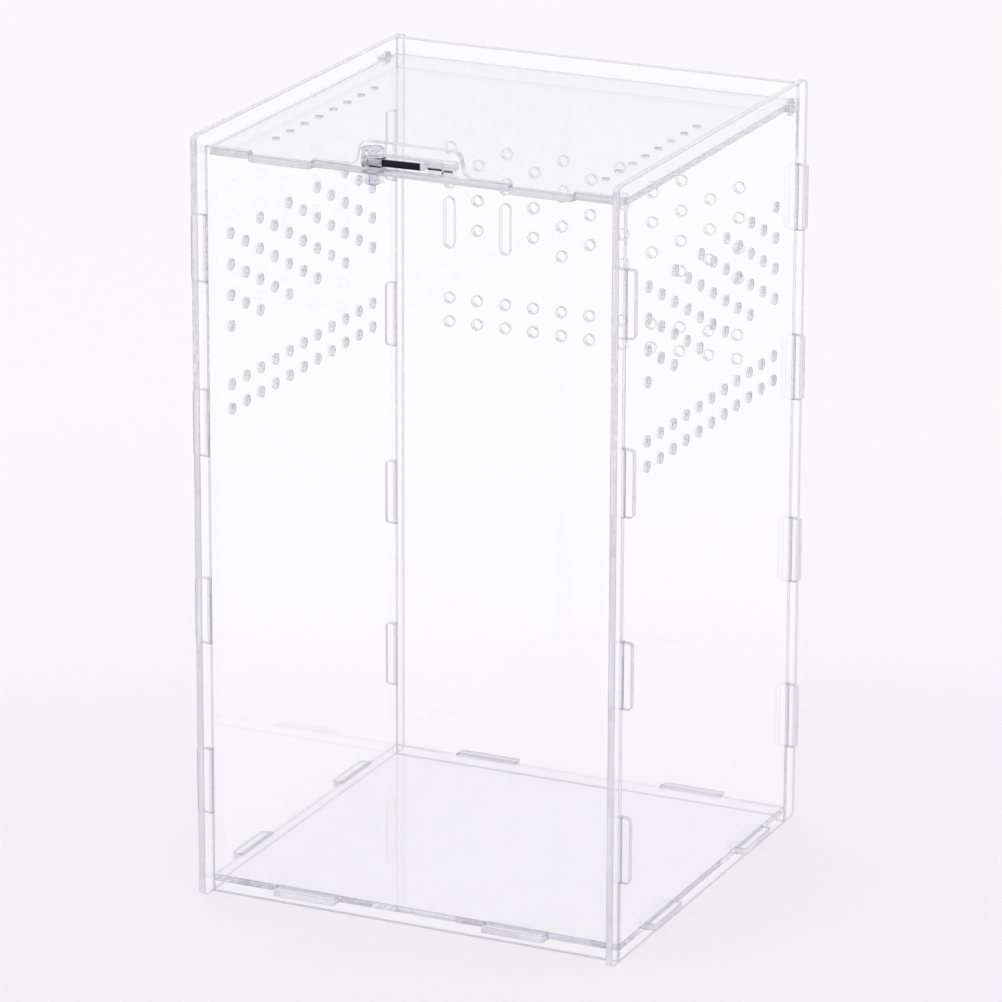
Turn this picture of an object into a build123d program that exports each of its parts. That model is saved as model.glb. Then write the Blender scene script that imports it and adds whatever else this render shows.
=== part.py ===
"""Reptile breeding box: clear sheets that plug together, with a hinged lid and a turn latch.

Millimetres. +Z is up, the front faces -Y. The origin lies on the ground under the middle of the box.
"""
from build123d import *
import os

os.makedirs("parts", exist_ok=True)

# Sheets and overall size
SHEET = 3.0
WIDTH = 200.0
DEPTH = 206.0
HEIGHT = 347.5
FRONT_BELOW_RIM = 6.2
END_INSET = 7.5
WALL_CORNER_R = 3.0

# Plug joints between the sheets
TAB_LENGTH = 30.0
TAB_PROUD = 4.2
TAB_CORNER_R = 1.5
SLOT_CLEARANCE = 0.1
WALL_TAB_HEIGHTS = (51.6, 131.0, 217.0, 295.6)
FLOOR_TAB_OFFSET = 50.5
FLOOR_BOTTOM = 4.5

# Vent pattern
HOLE_R = 2.5
HOLE_PITCH = 14.0
HOLE_COLUMNS = 11
LATTICE_ROWS = 4
LATTICE_TOP = 296.7
LOWER_ROWS = 2
LOWER_ROW_TOP = 228.4
LOWER_ROW_STEP = 11.2
LONG_SLOT_COLUMNS = (0, 2)
LONG_SLOT_LENGTH = 24.0
LONG_SLOT_MIDDLE = 264.0
LONG_SLOT_ROWS = 2

# Lid
LID_SIDE_GAP = 0.4
LID_FRONT_GAP = 0.3
LID_REAR_GAP = 0.5
LID_BELOW_FRONT = 0.9
LID_CORNER_R = 2.0
LID_HOLES = 8
LID_HOLE_R = 1.75
LID_HOLE_PITCH = 13.9
LID_HOLE_FRONT = -66.4
LID_HOLE_X = 77.6
FRONT_TAB_WIDTH = 29.0
FRONT_TAB_OFFSET = 61.0
FRONT_TAB_PROUD = 2.0
NOTCH_CLEARANCE = 0.5

# Hinge
HINGE_FROM_REAR_WALL = 8.4
HINGE_TONGUE_WIDTH = 7.0
HINGE_TONGUE_PROUD = 3.2
HINGE_RUNNING_GAP = 0.08

# Latch
EAR_FOOT_WIDTH = 51.0
EAR_TOP_WIDTH = 46.0
EAR_RISE = 11.1
EAR_CORNER_R = 4.0
EAR_BASE_R = 4.0
KEEPER_LEFT = -21.0
KEEPER_RIGHT = 15.0
KEEPER_RISE = 6.0
KEEPER_CORNER_R = 1.5
PIVOT_X = -20.5
PIVOT_BEHIND_WALL = 5.2
ARM_REST_TURN = 3.0
ARM_BEHIND_WALL = 0.25
ARM_REAR = 5.95
ARM_TAB_REACH = 24.5
ARM_BAR_REACH = 37.5
ARM_CORNER_R = 1.5
PAD_THICK = 0.6
PAD_WIDTH = 1.2
SHANK_R = 2.5
SHANK_RUNNING_GAP = 0.08
SHANK_SEAT_GAP = 0.1
HEAD_R = 5.0
HEAD_HEIGHT = 3.6
HEAD_LIFT = 0.1
HEAD_LOBES = 6
HEAD_LOBE_R = 0.8
HEAD_CROSS_LENGTH = 6.5
HEAD_CROSS_WIDTH = 1.2
HEAD_CROSS_DEPTH = 1.4
NUT_ACROSS = 9.0
NUT_HEIGHT = 4.5
SHANK_BELOW_NUT = 1.0
GRIP_START = 5.5
GRIP_THICK = 1.0

# Distance under which two points count as one
SAME_PLACE = 0.01

# Places that follow from the sizes above
half_width = WIDTH / 2
half_depth = DEPTH / 2
inner_half_width = half_width - SHEET
front_face = -half_depth + END_INSET
front_inner = front_face + SHEET
rear_face = half_depth - END_INSET
rear_inner = rear_face - SHEET
front_height = HEIGHT - FRONT_BELOW_RIM
lid_top = front_height - LID_BELOW_FRONT
lid_bottom = lid_top - SHEET
hinge_y = rear_inner - HINGE_FROM_REAR_WALL
hinge_z = lid_top - SHEET / 2
pivot_y = front_inner + PIVOT_BEHIND_WALL
arm_reach = PIVOT_BEHIND_WALL - ARM_BEHIND_WALL
arm_middle = (ARM_REAR - arm_reach) / 2
arm_end_r = (ARM_REAR + arm_reach) / 2
arm_bottom = lid_top + PAD_THICK
arm_top = arm_bottom + SHEET
arm_place = Pos(PIVOT_X, pivot_y, 0) * Rot(0, 0, ARM_REST_TURN)
tongue_half = HINGE_TONGUE_WIDTH / 2
tongue_reach = (tongue_half ** 2 + (SHEET / 2) ** 2) ** 0.5


def sheet_xy(outline, bottom):
    """Flat sheet lying level, from an outline seen from above."""
    return Pos(0, 0, bottom) * extrude(outline, SHEET)


def sheet_xz(outline, front):
    """Upright sheet across the box, from an outline seen from the front, with its front face at y=front."""
    return extrude(Plane(origin=(0, front, 0), x_dir=(1, 0, 0), z_dir=(0, -1, 0)) * outline, -SHEET)


def sheet_yz(outline, left):
    """Upright sheet along the box, from an outline seen from the right, with its left face at x=left."""
    return extrude(Plane(origin=(left, 0, 0), x_dir=(0, 1, 0), z_dir=(1, 0, 0)) * outline, SHEET)


def tab_outline(length, reach):
    """Tab that lies along x, with rounded corners at its far end at y=reach."""
    body = Pos(0, reach / 2 - SHEET / 2) * Rectangle(length, reach + SHEET)
    far = [v for v in body.vertices() if v.Y > 0]
    return fillet(far, TAB_CORNER_R)


def slot_outline(along_y=False):
    """Slot that a tab passes through."""
    long_side = TAB_LENGTH + 2 * SLOT_CLEARANCE
    short_side = SHEET + 2 * SLOT_CLEARANCE
    return Rectangle(short_side, long_side) if along_y else Rectangle(long_side, short_side)


def column_positions():
    """Places of the vent columns across a wall, the same on three walls."""
    first = -HOLE_PITCH * (HOLE_COLUMNS - 1) / 2
    return [first + HOLE_PITCH * k for k in range(HOLE_COLUMNS)]


def vent_holes(long_slots):
    """Vent pattern of one wall as flat shapes: a staggered lattice over two plain rows."""
    shapes = []
    for k, across in enumerate(column_positions()):
        rows = LATTICE_ROWS - k % 2
        top = LATTICE_TOP - (k % 2) * HOLE_PITCH / 2
        slotted = long_slots and k in LONG_SLOT_COLUMNS
        if slotted:
            rows -= LONG_SLOT_ROWS
            long_slot = SlotOverall(LONG_SLOT_LENGTH, 2 * HOLE_R)
            shapes.append(Pos(across, LONG_SLOT_MIDDLE) * Rot(0, 0, 90) * long_slot)
        for row in range(rows):
            shapes.append(Pos(across, top - row * HOLE_PITCH) * Circle(HOLE_R))
        for row in range(LOWER_ROWS):
            shapes.append(Pos(across, LOWER_ROW_TOP - row * LOWER_ROW_STEP) * Circle(HOLE_R))
    return shapes


def floor_panel():
    """Floor with two tabs through each wall."""
    outline = Rectangle(2 * inner_half_width, rear_inner - front_inner)
    for side in (-1, 1):
        for place in (-FLOOR_TAB_OFFSET, FLOOR_TAB_OFFSET):
            end_tab = tab_outline(TAB_LENGTH, SHEET + TAB_PROUD)
            side_tab = tab_outline(TAB_LENGTH, SHEET + TAB_PROUD)
            end_turn = 0 if side > 0 else 180
            side_turn = -90 if side > 0 else 90
            outline += Pos(place, side * rear_inner) * Rot(0, 0, end_turn) * end_tab
            outline += Pos(side * inner_half_width, place) * Rot(0, 0, side_turn) * side_tab
    return sheet_xy(outline, FLOOR_BOTTOM)


def side_panel(left):
    """Side wall with slots for the wall and floor tabs, vent holes and the hinge hole."""
    outline = Pos(0, HEIGHT / 2) * RectangleRounded(DEPTH, HEIGHT, WALL_CORNER_R)
    for height in WALL_TAB_HEIGHTS:
        for middle in (front_face + SHEET / 2, rear_face - SHEET / 2):
            outline -= Pos(middle, height) * slot_outline(along_y=True)
    for place in (-FLOOR_TAB_OFFSET, FLOOR_TAB_OFFSET):
        outline -= Pos(place, FLOOR_BOTTOM + SHEET / 2) * slot_outline()
    for shape in vent_holes(long_slots=False):
        outline -= shape
    outline -= Pos(hinge_y, hinge_z) * Circle(tongue_reach + HINGE_RUNNING_GAP)
    return sheet_yz(outline, left)


def end_wall_outline(height):
    """Wall between the two side panels, with four tabs at each side and slots for the floor tabs."""
    outline = Pos(0, height / 2) * Rectangle(2 * inner_half_width, height)
    for side in (-1, 1):
        for middle in WALL_TAB_HEIGHTS:
            tab = tab_outline(TAB_LENGTH, SHEET + TAB_PROUD)
            turn = -90 if side > 0 else 90
            outline += Pos(side * inner_half_width, middle) * Rot(0, 0, turn) * tab
    for place in (-FLOOR_TAB_OFFSET, FLOOR_TAB_OFFSET):
        outline -= Pos(place, FLOOR_BOTTOM + SHEET / 2) * slot_outline()
    return outline


def back_panel():
    """Rear wall with vent holes and two long cable slots."""
    outline = end_wall_outline(HEIGHT)
    for shape in vent_holes(long_slots=True):
        outline -= shape
    return sheet_xz(outline, rear_inner)


def front_panel():
    """Front wall with two notches for the lid's tabs and an ear with the latch's keeper slot."""
    outline = end_wall_outline(front_height)
    top = front_height + EAR_RISE
    foot = EAR_FOOT_WIDTH / 2
    crown = EAR_TOP_WIDTH / 2
    root = front_height - SHEET
    right_side = ((foot, root), (foot, front_height), (crown, top))
    left_side = ((-crown, top), (-foot, front_height), (-foot, root))
    ear = make_face(Polyline(*right_side, *left_side, close=True))
    outline += fillet([v for v in ear.vertices() if v.Y > (front_height + top) / 2], EAR_CORNER_R)
    at_edge = [v for v in outline.vertices() if abs(v.Y - front_height) < SAME_PLACE]
    outline = fillet([v for v in at_edge if abs(abs(v.X) - foot) < SAME_PLACE], EAR_BASE_R)
    notch_depth = front_height - lid_bottom
    notch_width = FRONT_TAB_WIDTH + 2 * NOTCH_CLEARANCE
    for side in (-1, 1):
        outline -= Pos(side * FRONT_TAB_OFFSET, front_height) * Rectangle(notch_width, 2 * notch_depth)
    keeper_width = KEEPER_RIGHT - KEEPER_LEFT
    keeper = RectangleRounded(keeper_width, KEEPER_RISE, KEEPER_CORNER_R)
    outline -= Pos((KEEPER_LEFT + KEEPER_RIGHT) / 2, lid_top + KEEPER_RISE / 2) * keeper
    return sheet_xz(outline, front_face)


def lid_panel():
    """Lid with hinge tongues at the rear, two front tabs, two rows of holes and the latch's hole."""
    front = front_inner + LID_FRONT_GAP
    rear = rear_inner - LID_REAR_GAP
    half = inner_half_width - LID_SIDE_GAP
    outline = Pos(0, (front + rear) / 2) * RectangleRounded(2 * half, rear - front, LID_CORNER_R)
    tongue_end = half_width + HINGE_TONGUE_PROUD
    for side in (-1, 1):
        reach = tongue_end - half
        tongue = tab_outline(HINGE_TONGUE_WIDTH, reach)
        outline += Pos(side * half, hinge_y) * Rot(0, 0, -90 * side) * tongue
        front_tab = tab_outline(FRONT_TAB_WIDTH, front - front_face + FRONT_TAB_PROUD)
        outline += Pos(side * FRONT_TAB_OFFSET, front) * Rot(0, 0, 180) * front_tab
        for k in range(LID_HOLES):
            outline -= Pos(side * LID_HOLE_X, LID_HOLE_FRONT + k * LID_HOLE_PITCH) * Circle(LID_HOLE_R)
    outline -= Pos(PIVOT_X, pivot_y) * Circle(SHANK_R + SHANK_SEAT_GAP)
    return sheet_xy(outline, lid_bottom)


def arm_outline():
    """Arm from above, the screw at the origin: a wide plate with a round left end, then a narrow bar."""
    plate = Pos(ARM_TAB_REACH / 2, arm_middle) * Rectangle(ARM_TAB_REACH, 2 * arm_end_r)
    plate = fillet([v for v in plate.vertices() if v.X > 0 and v.Y < 0], ARM_CORNER_R)
    bar = Pos(ARM_BAR_REACH / 2, ARM_REAR / 2) * Rectangle(ARM_BAR_REACH, ARM_REAR)
    bar = fillet([v for v in bar.vertices() if v.X > ARM_TAB_REACH], ARM_CORNER_R)
    return Pos(0, arm_middle) * Circle(arm_end_r) + plate + bar


def grip_outline():
    """Dark strip along the straight front edge of the wide plate."""
    length = ARM_TAB_REACH - ARM_CORNER_R - GRIP_START
    return Pos(GRIP_START + length / 2, GRIP_THICK / 2 - arm_reach) * Rectangle(length, GRIP_THICK)


def latch_arm():
    """Clear arm that turns on the latch screw, with a recess for the dark strip."""
    outline = arm_outline() - grip_outline() - Circle(SHANK_R + SHANK_RUNNING_GAP)
    return arm_place * sheet_xy(outline, arm_bottom)


def latch_grip():
    """Dark strip in the arm's front edge."""
    return arm_place * sheet_xy(grip_outline(), arm_bottom)


def latch_pad():
    """Dark sliding strip under the front edge of the arm's bar."""
    length = ARM_BAR_REACH - ARM_TAB_REACH - ARM_CORNER_R
    strip = Pos(ARM_TAB_REACH + length / 2, PAD_WIDTH / 2) * Rectangle(length, PAD_WIDTH)
    return arm_place * Pos(0, 0, lid_top) * extrude(strip, PAD_THICK)


def latch_washer():
    """Dark washer between the lid and the arm."""
    ring = Circle(arm_reach) - Circle(SHANK_R + SHANK_SEAT_GAP)
    return Pos(PIVOT_X, pivot_y, lid_top) * extrude(ring, PAD_THICK)


def latch_screw():
    """Clear screw with a lobed head and a cross recess, on which the arm turns."""
    under_head = arm_top + HEAD_LIFT
    foot = lid_bottom - NUT_HEIGHT - SHANK_BELOW_NUT
    shank = Pos(0, 0, foot) * extrude(Circle(SHANK_R), under_head - foot)
    lobes = Circle(HEAD_R)
    for spot in PolarLocations(HEAD_R, HEAD_LOBES):
        lobes -= spot * Circle(HEAD_LOBE_R)
    head = Pos(0, 0, under_head) * extrude(lobes, HEAD_HEIGHT)
    cross = Rectangle(HEAD_CROSS_LENGTH, HEAD_CROSS_WIDTH) + Rectangle(HEAD_CROSS_WIDTH, HEAD_CROSS_LENGTH)
    head -= Pos(0, 0, under_head + HEAD_HEIGHT - HEAD_CROSS_DEPTH) * extrude(cross, HEAD_CROSS_DEPTH)
    return Pos(PIVOT_X, pivot_y, 0) * (shank + head)


def latch_nut():
    """Clear hexagon nut under the lid."""
    outline = RegularPolygon(NUT_ACROSS / 2, 6, major_radius=False) - Circle(SHANK_R)
    return Pos(PIVOT_X, pivot_y, lid_bottom - NUT_HEIGHT) * extrude(outline, NUT_HEIGHT)


PIECES = {
    "floor_panel": floor_panel(),
    "front_panel": front_panel(),
    "back_panel": back_panel(),
    "left_panel": side_panel(-half_width),
    "right_panel": side_panel(inner_half_width),
    "lid_panel": lid_panel(),
    "latch_screw": latch_screw(),
    "latch_nut": latch_nut(),
    "latch_washer": latch_washer(),
    "latch_pad": latch_pad(),
    "latch_arm": latch_arm(),
    "latch_grip": latch_grip(),
}

for name, piece in PIECES.items():
    export_step(piece, f"parts/{name}.step")
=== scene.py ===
"""Looks of the reptile breeding box: clear sheets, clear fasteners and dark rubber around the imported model.

Metres, in the model's own frame: +Z up, the front wall faces -Y, the origin on the ground under the middle.
"""
import logging
import math
from dataclasses import dataclass, field
from enum import Enum
from typing import Dict, List, Tuple, Union

import bpy
from mathutils import Matrix, Vector

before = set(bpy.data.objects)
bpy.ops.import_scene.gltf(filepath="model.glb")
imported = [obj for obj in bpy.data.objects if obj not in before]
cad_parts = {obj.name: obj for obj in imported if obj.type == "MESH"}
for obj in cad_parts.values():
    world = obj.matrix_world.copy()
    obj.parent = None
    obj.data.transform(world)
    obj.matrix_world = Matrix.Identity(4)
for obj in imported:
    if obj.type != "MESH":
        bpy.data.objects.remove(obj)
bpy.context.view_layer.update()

log = logging.getLogger("breeding_box")

Colour = Tuple[float, float, float]
IMAGE_SIDE = 1002
CAMERA_YAW = 0.432659
TIP_MARGIN = 0.0002
BORDER_ALIKE = (0.95, 0.8)
BORDER_SAMPLES = 4
NOISE_DETAIL = 2.0
NOISE_ENDS = (0.35, 0.65)
RAMP_ENDS = (0.0, 1.0)


class Stage(Enum):
    """Surfaces that surround the box and aren't part of it."""

    FLOOR = "floor"


class Axis(Enum):
    """An axis of the model, as its place in a vector."""

    X = 0
    Y = 1
    Z = 2


class Coordinate(Enum):
    """What a material or the world can place its tones by."""

    OBJECT = "Object"
    NORMAL = "Normal"
    GENERATED = "Generated"


def linear(value: float) -> float:
    """Linear light of one display value between 0 and 1."""
    return value / 12.92 if value <= 0.04045 else ((value + 0.055) / 1.055) ** 2.4


def display_colour(red: int, green: int, blue: int) -> Colour:
    """Linear colour of a display colour given in 0 to 255."""
    return (linear(red / 255), linear(green / 255), linear(blue / 255))


def math_node(tree: bpy.types.NodeTree, operation: str, first: bpy.types.NodeSocket,
              second: Union[float, bpy.types.NodeSocket] = 0.0) -> bpy.types.NodeSocket:
    """Adds one sum.

    Args:
        tree: The material's nodes.
        operation: The kind of sum.
        first: Its first value.
        second: Its second value, a number or a socket.

    Returns:
        The result.
    """
    node = tree.nodes.new("ShaderNodeMath")
    node.operation = operation
    tree.links.new(first, node.inputs[0])
    if isinstance(second, bpy.types.NodeSocket):
        tree.links.new(second, node.inputs[1])
    else:
        node.inputs[1].default_value = second
    return node.outputs[0]


def scaled(tree: bpy.types.NodeTree, value: bpy.types.NodeSocket, share: float) -> bpy.types.NodeSocket:
    """Takes a fixed share of a value."""
    return math_node(tree, "MULTIPLY", value, share)


def product(tree: bpy.types.NodeTree, first: bpy.types.NodeSocket,
            second: bpy.types.NodeSocket) -> bpy.types.NodeSocket:
    """Multiplies two values."""
    return math_node(tree, "MULTIPLY", first, second)


def inverted(tree: bpy.types.NodeTree, value: bpy.types.NodeSocket) -> bpy.types.NodeSocket:
    """Turns 0 to 1 into 1 to 0."""
    node = tree.nodes.new("ShaderNodeMath")
    node.operation = "SUBTRACT"
    node.inputs[0].default_value = 1.0
    tree.links.new(value, node.inputs[1])
    return node.outputs[0]


def mixed_colour(tree: bpy.types.NodeTree, share: bpy.types.NodeSocket,
                 first: Union[Colour, bpy.types.NodeSocket],
                 second: Union[Colour, bpy.types.NodeSocket]) -> bpy.types.NodeSocket:
    """Mixes two colours.

    Args:
        tree: The material's nodes.
        share: How much of the second colour shows.
        first: A colour or a socket.
        second: A colour or a socket.

    Returns:
        The mixed colour.
    """
    node = tree.nodes.new("ShaderNodeMix")
    node.data_type = "RGBA"
    tree.links.new(share, node.inputs["Factor"])
    for name, colour in (("A", first), ("B", second)):
        if isinstance(colour, bpy.types.NodeSocket):
            tree.links.new(colour, node.inputs[name])
        else:
            node.inputs[name].default_value = (*colour, 1.0)
    return node.outputs["Result"]


def coordinate_parts(tree: bpy.types.NodeTree, kind: Coordinate) -> bpy.types.NodeOutputs:
    """Splits a coordinate into its X, Y and Z parts.

    Args:
        tree: The nodes of a material or of the world.
        kind: Which coordinate.

    Returns:
        The three parts.
    """
    coordinates = tree.nodes.new("ShaderNodeTexCoord")
    parts = tree.nodes.new("ShaderNodeSeparateXYZ")
    tree.links.new(coordinates.outputs[kind.value], parts.inputs["Vector"])
    return parts.outputs


def tone_ramp(tree: bpy.types.NodeTree, value: bpy.types.NodeSocket, low: Colour, high: Colour,
              ends: Tuple[float, float] = RAMP_ENDS) -> bpy.types.NodeSocket:
    """Turns a value into a colour between two tones.

    Args:
        tree: The nodes of a material or of the world.
        value: The value.
        low: The tone at the lower end.
        high: The tone at the upper end.
        ends: The values at the two ends.

    Returns:
        The colour.
    """
    ramp = tree.nodes.new("ShaderNodeValToRGB")
    for element, position, colour in zip(ramp.color_ramp.elements, ends, (low, high)):
        element.position = position
        element.color = (*colour, 1.0)
    tree.links.new(value, ramp.inputs["Fac"])
    return ramp.outputs["Color"]


def noise_colour(tree: bpy.types.NodeTree, scale: float, low: Colour, high: Colour) -> bpy.types.NodeSocket:
    """Makes a fine cloudy colour between two tones.

    Args:
        tree: The material's nodes.
        scale: How fine the clouds are.
        low: The darker tone.
        high: The paler tone.

    Returns:
        The colour.
    """
    coordinates = tree.nodes.new("ShaderNodeTexCoord")
    noise = tree.nodes.new("ShaderNodeTexNoise")
    noise.inputs["Scale"].default_value = scale
    noise.inputs["Detail"].default_value = NOISE_DETAIL
    tree.links.new(coordinates.outputs["Object"], noise.inputs["Vector"])
    return tone_ramp(tree, noise.outputs["Fac"], low, high, NOISE_ENDS)


def empty_material(name: str) -> bpy.types.Material:
    """Makes a material without nodes, ready to be filled."""
    material = bpy.data.materials.new(name)
    material.use_nodes = True
    material.node_tree.nodes.clear()
    return material


def lamp_mix(tree: bpy.types.NodeTree, surface: bpy.types.NodeSocket, shadow: Colour) -> bpy.types.NodeSocket:
    """Lets lamp light pass straight through a clear surface.

    Args:
        tree: The material's nodes.
        surface: The surface as every other ray sees it.
        shadow: The tint of the light that passes.

    Returns:
        The mixed surface.
    """
    lamp_through = tree.nodes.new("ShaderNodeBsdfTransparent")
    lamp_through.inputs["Color"].default_value = (*shadow, 1.0)
    path = tree.nodes.new("ShaderNodeLightPath")
    mix = tree.nodes.new("ShaderNodeMixShader")
    tree.links.new(path.outputs["Is Shadow Ray"], mix.inputs["Fac"])
    tree.links.new(surface, mix.inputs[1])
    tree.links.new(lamp_through.outputs["BSDF"], mix.inputs[2])
    return mix.outputs["Shader"]


def mixed_value(tree: bpy.types.NodeTree, share: bpy.types.NodeSocket,
                first: Union[float, bpy.types.NodeSocket], second: float) -> bpy.types.NodeSocket:
    """Mixes two values.

    Args:
        tree: The material's nodes.
        share: How much of the second value counts.
        first: A value or a socket.
        second: A value.

    Returns:
        The mixed value.
    """
    node = tree.nodes.new("ShaderNodeMix")
    tree.links.new(share, node.inputs["Factor"])
    if isinstance(first, bpy.types.NodeSocket):
        tree.links.new(first, node.inputs["A"])
    else:
        node.inputs["A"].default_value = first
    node.inputs["B"].default_value = second
    return node.outputs["Result"]


def outer_reach(name: str, axis: Axis) -> float:
    """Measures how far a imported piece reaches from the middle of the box.

    Args:
        name: The piece's name.
        axis: The axis to measure along.

    Returns:
        The distance in metres.
    """
    return max(abs(corner[axis.value]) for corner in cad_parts[name].bound_box)


def tip_mask(tree: bpy.types.NodeTree) -> bpy.types.NodeSocket:
    """Finds what stands proud of the walls: the tips of the tabs and the ends of the side walls.

    Args:
        tree: The material's nodes.

    Returns:
        A value that is 1 outside the walls' outer faces and 0 within.
    """
    place = coordinate_parts(tree, Coordinate.OBJECT)
    past = []
    for wall, axis in (("right_panel", Axis.X), ("back_panel", Axis.Y)):
        distance = math_node(tree, "ABSOLUTE", place[axis.value])
        past.append(math_node(tree, "GREATER_THAN", distance, outer_reach(wall, axis) + TIP_MARGIN))
    return math_node(tree, "MAXIMUM", past[0], past[1])


def border_mask(tree: bpy.types.NodeTree, radius: float) -> bpy.types.NodeSocket:
    """Finds the thin strip beside every sharp border of a piece.

    Args:
        tree: The material's nodes.
        radius: The strip's width in metres.

    Returns:
        A value that is 1 at a border and 0 away from it.
    """
    rounded = tree.nodes.new("ShaderNodeBevel")
    rounded.samples = BORDER_SAMPLES
    rounded.inputs["Radius"].default_value = radius
    geometry = tree.nodes.new("ShaderNodeNewGeometry")
    alike = tree.nodes.new("ShaderNodeVectorMath")
    alike.operation = "DOT_PRODUCT"
    tree.links.new(rounded.outputs["Normal"], alike.inputs[0])
    tree.links.new(geometry.outputs["True Normal"], alike.inputs[1])
    strip = tree.nodes.new("ShaderNodeMapRange")
    strip.inputs["From Min"].default_value = BORDER_ALIKE[0]
    strip.inputs["From Max"].default_value = BORDER_ALIKE[1]
    tree.links.new(alike.outputs["Value"], strip.inputs["Value"])
    return strip.outputs["Result"]


@dataclass(frozen=True)
class ClearSheet:
    """Polished clear acrylic with paler, faintly frosted cut edges and fine grey lines of painted shade along
    its borders, in place of the dark lines its edges refract.
    """

    name: str = "clear_sheet"
    through: Axis = Axis.Z
    ior: float = 1.49
    absorb_colour: Colour = (0.86, 0.85, 0.95)
    absorb_density: float = 3.0
    shadow_colour: Colour = (0.965, 0.962, 0.98)
    face_limit: float = 0.9
    upward_limit: float = 0.5
    # Edge tones: the paler frosted tone of cut edges; the front and back sheets lower them as painted shade.
    edge_tone_and_shade_low: Colour = (0.90, 0.90, 0.92)
    edge_tone_and_shade_high: Colour = (0.98, 0.98, 0.99)
    edge_open: float = 0.6
    top_open: float = 0.3
    tip_open: float = 0.5
    edge_roughness: float = 0.3
    streak_scale: float = 260.0
    # Painted shade: colour, strength and width of the dark lines painted along every border in place of the
    # edges' dark refraction.
    painted_shade_stroke_colour: Colour = (0.15, 0.15, 0.175)
    painted_shade_stroke_share: float = 0.95
    painted_shade_stroke_radius: float = 0.0005

    def build(self) -> bpy.types.Material:
        """Makes the material.

        Returns:
            The finished material.
        """
        material = empty_material(self.name)
        tree = material.node_tree
        link = tree.links.new
        normal = coordinate_parts(tree, Coordinate.NORMAL)
        cut = self.cut_mask(tree, normal)
        upward = math_node(tree, "GREATER_THAN", normal[Axis.Z.value], self.upward_limit)
        # Painted shade: a thin strip along each border gets the dark line colour.
        painted_shade_stroke = border_mask(tree, self.painted_shade_stroke_radius)
        glass = tree.nodes.new("ShaderNodeBsdfPrincipled")
        glass.inputs["IOR"].default_value = self.ior
        edged = mixed_colour(tree, cut, (1.0, 1.0, 1.0), self.streaks(tree))
        with_painted_shade_strokes = mixed_colour(tree, scaled(tree, painted_shade_stroke, self.painted_shade_stroke_share), edged, self.painted_shade_stroke_colour)
        link(with_painted_shade_strokes, glass.inputs["Base Color"])
        link(scaled(tree, cut, self.edge_roughness), glass.inputs["Roughness"])
        face = inverted(tree, cut)
        # The painted shade lines are kept neither see-through nor open, so their dark colour shows.
        off_painted_shade_strokes = inverted(tree, scaled(tree, painted_shade_stroke, self.painted_shade_stroke_share))
        link(product(tree, face, off_painted_shade_strokes), glass.inputs["Transmission Weight"])
        level = mixed_value(tree, upward, self.edge_open, self.top_open)
        openness = mixed_value(tree, tip_mask(tree), level, self.tip_open)
        open_edge = product(tree, product(tree, cut, openness), off_painted_shade_strokes)
        link(inverted(tree, open_edge), glass.inputs["Alpha"])
        absorb = tree.nodes.new("ShaderNodeVolumeAbsorption")
        absorb.inputs["Color"].default_value = (*self.absorb_colour, 1.0)
        absorb.inputs["Density"].default_value = self.absorb_density
        output = tree.nodes.new("ShaderNodeOutputMaterial")
        link(lamp_mix(tree, glass.outputs["BSDF"], self.shadow_colour), output.inputs["Surface"])
        link(absorb.outputs["Volume"], output.inputs["Volume"])
        return material

    def cut_mask(self, tree: bpy.types.NodeTree, normal: bpy.types.NodeOutputs) -> bpy.types.NodeSocket:
        """Finds the cut edges, whose normals lie across the sheet's thickness.

        Args:
            tree: The material's nodes.
            normal: The parts of the surface's direction.

        Returns:
            A value that is 1 on cut edges and 0 on the faces.
        """
        size = math_node(tree, "ABSOLUTE", normal[self.through.value])
        return math_node(tree, "LESS_THAN", size, self.face_limit)

    def streaks(self, tree: bpy.types.NodeTree) -> bpy.types.NodeSocket:
        """Makes the fine uneven tone that a cutting beam leaves on an edge; on the front and back sheets the
        whole tone is also lowered as painted shade.

        Args:
            tree: The material's nodes.

        Returns:
            The edge colour.
        """
        return noise_colour(tree, self.streak_scale, self.edge_tone_and_shade_low, self.edge_tone_and_shade_high)


@dataclass(frozen=True)
class ClearMoulding:
    """Clear moulded plastic of the latch's screw and nut, a little milky and lavender, with fine dark lines
    of painted shade along its borders.
    """

    name: str = "clear_moulding"
    ior: float = 1.5
    low: Colour = (0.92, 0.915, 0.96)
    high: Colour = (1.0, 1.0, 1.0)
    clear_share: float = 0.98
    roughness: float = 0.03
    cloud_scale: float = 420.0
    shadow_colour: Colour = (0.80, 0.79, 0.86)
    # Painted shade: colour, strength and width of the dark lines painted along the borders in place of their
    # dark refraction.
    painted_shade_stroke_colour: Colour = (0.20, 0.19, 0.27)
    painted_shade_stroke_share: float = 0.7
    painted_shade_stroke_radius: float = 0.0003

    def build(self) -> bpy.types.Material:
        """Makes the material.

        Returns:
            The finished material.
        """
        material = empty_material(self.name)
        tree = material.node_tree
        link = tree.links.new
        plastic = tree.nodes.new("ShaderNodeBsdfPrincipled")
        plastic.inputs["IOR"].default_value = self.ior
        plastic.inputs["Roughness"].default_value = self.roughness
        # Painted shade: a dark line painted along every border, where the see-through is taken away.
        painted_shade_stroke = scaled(tree, border_mask(tree, self.painted_shade_stroke_radius), self.painted_shade_stroke_share)
        cloud = noise_colour(tree, self.cloud_scale, self.low, self.high)
        link(mixed_colour(tree, painted_shade_stroke, cloud, self.painted_shade_stroke_colour), plastic.inputs["Base Color"])
        link(scaled(tree, inverted(tree, painted_shade_stroke), self.clear_share), plastic.inputs["Transmission Weight"])
        output = tree.nodes.new("ShaderNodeOutputMaterial")
        link(lamp_mix(tree, plastic.outputs["BSDF"], self.shadow_colour), output.inputs["Surface"])
        return material


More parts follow.
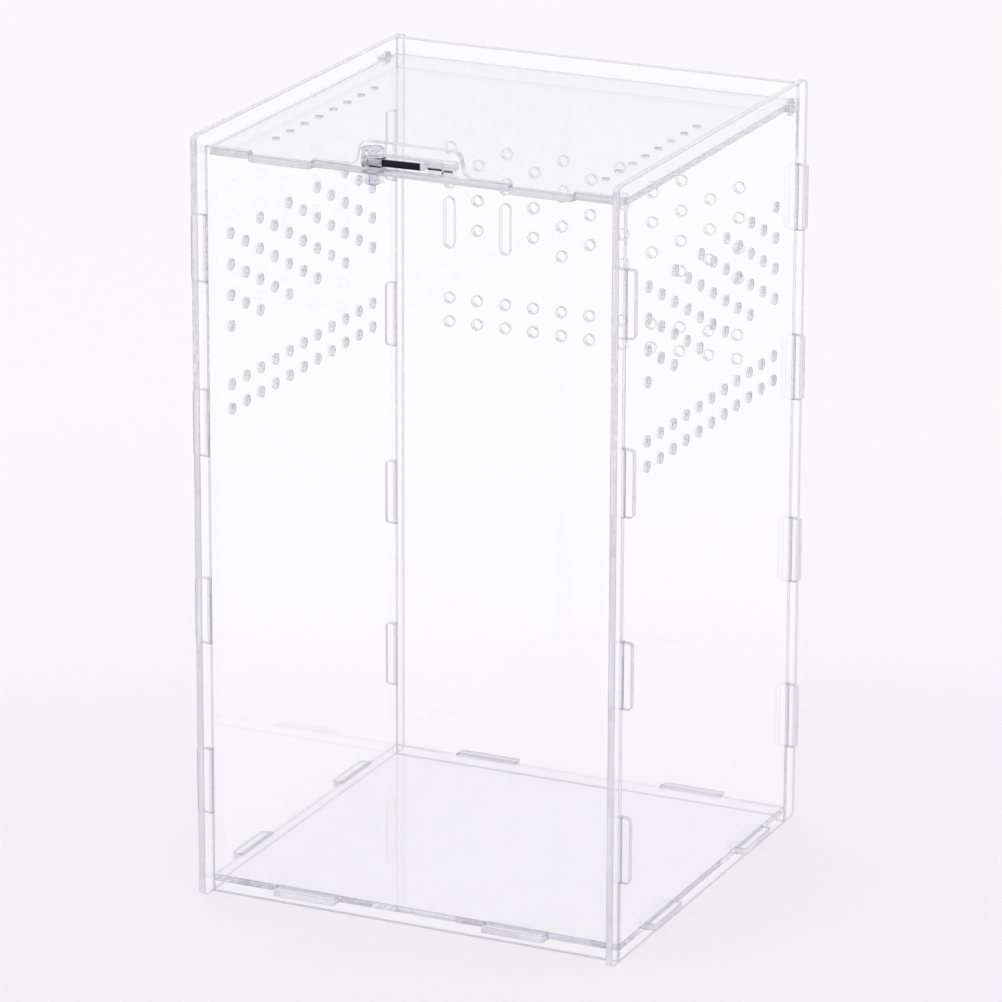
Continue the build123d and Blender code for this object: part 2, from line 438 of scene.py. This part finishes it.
@dataclass(frozen=True)
class DarkRubber:
    """Smooth near-black rubber with a fine grain."""

    name: str = "dark_rubber"
    low: Colour = (0.003, 0.002, 0.007)
    high: Colour = (0.008, 0.006, 0.016)
    grain_scale: float = 900.0
    grain_strength: float = 0.15
    grain_depth: float = 0.0002
    roughness: float = 0.35
    shine: float = 0.2

    def build(self) -> bpy.types.Material:
        """Makes the material.

        Returns:
            The finished material.
        """
        material = bpy.data.materials.new(self.name)
        material.use_nodes = True
        tree = material.node_tree
        shader = tree.nodes["Principled BSDF"]
        shader.inputs["Roughness"].default_value = self.roughness
        shader.inputs["Specular IOR Level"].default_value = self.shine
        coordinates = tree.nodes.new("ShaderNodeTexCoord")
        grain = tree.nodes.new("ShaderNodeTexNoise")
        grain.inputs["Scale"].default_value = self.grain_scale
        bump = tree.nodes.new("ShaderNodeBump")
        bump.inputs["Strength"].default_value = self.grain_strength
        bump.inputs["Distance"].default_value = self.grain_depth
        link = tree.links.new
        link(coordinates.outputs["Object"], grain.inputs["Vector"])
        link(grain.outputs["Fac"], bump.inputs["Height"])
        link(tone_ramp(tree, grain.outputs["Fac"], self.low, self.high), shader.inputs["Base Color"])
        link(bump.outputs["Normal"], shader.inputs["Normal"])
        return material


@dataclass(frozen=True)
class StudioFloor:
    """Pale floor, whiter far away, that shows its own colour to the camera and keeps part of the shadow."""

    name: str = "studio_floor"
    near_colour: Colour = display_colour(246, 241, 246)
    far_colour: Colour = display_colour(252, 249, 252)
    near_through: Colour = display_colour(252, 251, 255)
    far_through: Colour = display_colour(255, 255, 255)
    near_at: float = -0.05
    far_at: float = 0.7
    yaw: float = CAMERA_YAW
    shown_share: float = 0.8

    def build(self) -> bpy.types.Material:
        """Makes the material.

        Returns:
            The finished material.
        """
        material = empty_material(self.name)
        tree = material.node_tree
        link = tree.links.new
        coordinates = tree.nodes.new("ShaderNodeTexCoord")
        reach = tree.nodes.new("ShaderNodeVectorMath")
        reach.operation = "DOT_PRODUCT"
        reach.inputs[1].default_value = (-math.sin(self.yaw), math.cos(self.yaw), 0.0)
        tone = tree.nodes.new("ShaderNodeMapRange")
        tone.interpolation_type = "SMOOTHSTEP"
        tone.inputs["From Min"].default_value = self.near_at
        tone.inputs["From Max"].default_value = self.far_at
        output = tree.nodes.new("ShaderNodeOutputMaterial")
        lit = tree.nodes.new("ShaderNodeBsdfDiffuse")
        shown = tree.nodes.new("ShaderNodeEmission")
        shown.inputs["Strength"].default_value = 1.0
        path = tree.nodes.new("ShaderNodeLightPath")
        mix = tree.nodes.new("ShaderNodeMixShader")
        link(coordinates.outputs["Object"], reach.inputs[0])
        link(reach.outputs["Value"], tone.inputs["Value"])
        colour = mixed_colour(tree, tone.outputs["Result"], self.near_colour, self.far_colour)
        through = mixed_colour(tree, tone.outputs["Result"], self.near_through, self.far_through)
        link(colour, lit.inputs["Color"])
        link(mixed_colour(tree, path.outputs["Is Transmission Ray"], colour, through), shown.inputs["Color"])
        sharp = math_node(tree, "MAXIMUM", path.outputs["Is Camera Ray"], path.outputs["Is Glossy Ray"])
        direct = math_node(tree, "MAXIMUM", sharp, path.outputs["Is Transmission Ray"])
        link(scaled(tree, direct, self.shown_share), mix.inputs["Fac"])
        link(lit.outputs["BSDF"], mix.inputs[1])
        link(shown.outputs["Emission"], mix.inputs[2])
        link(mix.outputs["Shader"], output.inputs["Surface"])
        return material


@dataclass
class Box:
    """The five plugged sheets that stand still."""

    sides: ClearSheet = field(default_factory=lambda: ClearSheet(name="clear_sides", through=Axis.X))
    # Painted shade: these sheets' cut edges, which face the sides, are painted greyer than the other sheets'
    # edges for the shade that falls on them.
    ends: ClearSheet = field(
        default_factory=lambda: ClearSheet(
            name="clear_ends_painted_edge_shade",
            through=Axis.Y,
            edge_tone_and_shade_low=(0.70, 0.70, 0.73),
            edge_tone_and_shade_high=(0.82, 0.82, 0.85),
            edge_open=0.75,
            tip_open=0.2,
        )
    )
    bottom: ClearSheet = field(
        default_factory=lambda: ClearSheet(name="clear_bottom", edge_open=0.88, tip_open=0.35)
    )

    def dress(self) -> None:
        """Gives every sheet its clear finish."""
        dress_nodes(("left_panel", "right_panel"), self.sides.build())
        dress_nodes(("front_panel", "back_panel"), self.ends.build())
        dress_nodes(("floor_panel",), self.bottom.build())


@dataclass
class Lid:
    """The lid and what is fixed on it."""

    sheet: ClearSheet = field(default_factory=lambda: ClearSheet(name="clear_lid"))
    fastener: ClearMoulding = field(default_factory=ClearMoulding)
    rubber: DarkRubber = field(default_factory=DarkRubber)

    def dress(self) -> None:
        """Gives the lid, its screw and nut and its dark washer their finishes."""
        dress_nodes(("lid_panel",), self.sheet.build())
        dress_nodes(("latch_screw", "latch_nut"), self.fastener.build())
        dress_nodes(("latch_washer",), self.rubber.build())


@dataclass
class Latch:
    """The turning arm with its dark edge strip and sliding strip."""

    # Painted shade: the arm's border lines are painted darker and stronger than on the other sheets.
    arm: ClearSheet = field(
        default_factory=lambda: ClearSheet(name="clear_arm", painted_shade_stroke_colour=(0.10, 0.09, 0.14), painted_shade_stroke_share=0.9)
    )
    rubber: DarkRubber = field(default_factory=lambda: DarkRubber(name="dark_strip"))

    def dress(self) -> None:
        """Gives the arm and its strips their finishes."""
        dress_nodes(("latch_arm",), self.arm.build())
        dress_nodes(("latch_grip", "latch_pad"), self.rubber.build())


def dress_nodes(names: Tuple[str, ...], material: bpy.types.Material) -> None:
    """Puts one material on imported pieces.

    Args:
        names: The pieces' names.
        material: Their finish.
    """
    for name in names:
        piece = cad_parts[name]
        for slot in piece.material_slots:
            slot.material = material
        log.info("dressed %s with %s", name, material.name)


@dataclass
class Studio:
    """Floor, light and camera."""

    floor_side: float = 40.0
    floor_drop: float = 0.0002
    low_colour: Colour = (0.82, 0.815, 0.87)
    high_colour: Colour = (0.95, 0.945, 0.97)
    low_height: float = 0.35
    high_height: float = 0.75
    key_power: float = 8.0
    key_size: float = 1.6
    key_at: Tuple[float, float, float] = (-0.8, -0.9, 2.2)
    key_aim: Tuple[float, float, float] = (0.0, 0.0, 0.15)
    camera_at: Tuple[float, float, float] = (1.11138, -2.40867, 1.02948)
    camera_yaw: float = CAMERA_YAW
    camera_pitch: float = -0.314178
    camera_roll: float = 0.0036565
    focal_pixels: float = 6299.33
    sensor: float = 36.0
    clip_near: float = 0.05
    clip_far: float = 100.0
    finish: StudioFloor = field(default_factory=StudioFloor)

    def build(self) -> None:
        """Makes the floor, the world, the lamp and the camera."""
        self.floor()
        self.world()
        self.lamp()
        self.camera()

    def floor(self) -> None:
        """Makes the wide pale floor."""
        bpy.ops.mesh.primitive_plane_add(size=self.floor_side, location=(0.0, 0.0, -self.floor_drop))
        plane = bpy.context.object
        plane.name = Stage.FLOOR.value
        plane.data.materials.append(self.finish.build())

    def world(self) -> None:
        """Makes a pale world, a little darker near the horizon."""
        world = bpy.data.worlds.new("pale_world")
        bpy.context.scene.world = world
        world.use_nodes = True
        tree = world.node_tree
        background = tree.nodes["Background"]
        background.inputs["Strength"].default_value = 1.0
        height = coordinate_parts(tree, Coordinate.GENERATED)[Axis.Z.value]
        heights = (self.low_height, self.high_height)
        sky = tone_ramp(tree, height, self.low_colour, self.high_colour, heights)
        tree.links.new(sky, background.inputs["Color"])

    def lamp(self) -> None:
        """Makes one wide soft lamp above the box."""
        lamp = bpy.data.lights.new("soft_key", "AREA")
        lamp.energy = self.key_power
        lamp.size = self.key_size
        lamp_object = bpy.data.objects.new("soft_key", lamp)
        lamp_object.location = self.key_at
        aim = Vector(self.key_aim) - lamp_object.location
        lamp_object.rotation_euler = aim.to_track_quat("-Z", "Y").to_euler()
        bpy.context.scene.collection.objects.link(lamp_object)

    def camera(self) -> None:
        """Makes the camera at the photograph's viewing angle."""
        yaw, pitch, roll = self.camera_yaw, self.camera_pitch, self.camera_roll
        forward = Vector((-math.sin(yaw) * math.cos(pitch), math.cos(yaw) * math.cos(pitch), math.sin(pitch)))
        level = forward.cross(Vector((0.0, 0.0, 1.0))).normalized()
        above = level.cross(forward)
        right = math.cos(roll) * level + math.sin(roll) * above
        up = -math.sin(roll) * level + math.cos(roll) * above
        camera = bpy.data.cameras.new("camera")
        camera.sensor_width = self.sensor
        camera.lens = self.focal_pixels * self.sensor / IMAGE_SIDE
        camera.clip_start = self.clip_near
        camera.clip_end = self.clip_far
        camera_object = bpy.data.objects.new("camera", camera)
        turn = Matrix((right, up, -forward)).transposed()
        camera_object.matrix_world = Matrix.Translation(self.camera_at) @ turn.to_4x4()
        bpy.context.scene.collection.objects.link(camera_object)
        bpy.context.scene.camera = camera_object


@dataclass
class LightPaths:
    """How many times light may pass through the clear sheets."""

    bounces: int = 40
    transmission: int = 40
    transparent: int = 40
    glossy: int = 40

    def apply(self) -> None:
        """Sets the limits on the scene."""
        cycles = bpy.context.scene.cycles
        cycles.max_bounces = self.bounces
        cycles.transmission_bounces = self.transmission
        cycles.transparent_max_bounces = self.transparent
        cycles.glossy_bounces = self.glossy


def main() -> None:
    """Dresses the box, lid and latch in order and sets up the studio."""
    logging.basicConfig(level=logging.INFO, format="%(name)s: %(message)s")
    bpy.context.scene.view_settings.view_transform = "Standard"
    for assembly in (Box(), Lid(), Latch()):
        assembly.dress()
    Studio().build()
    LightPaths().apply()


if __name__ == "__main__":
    main()
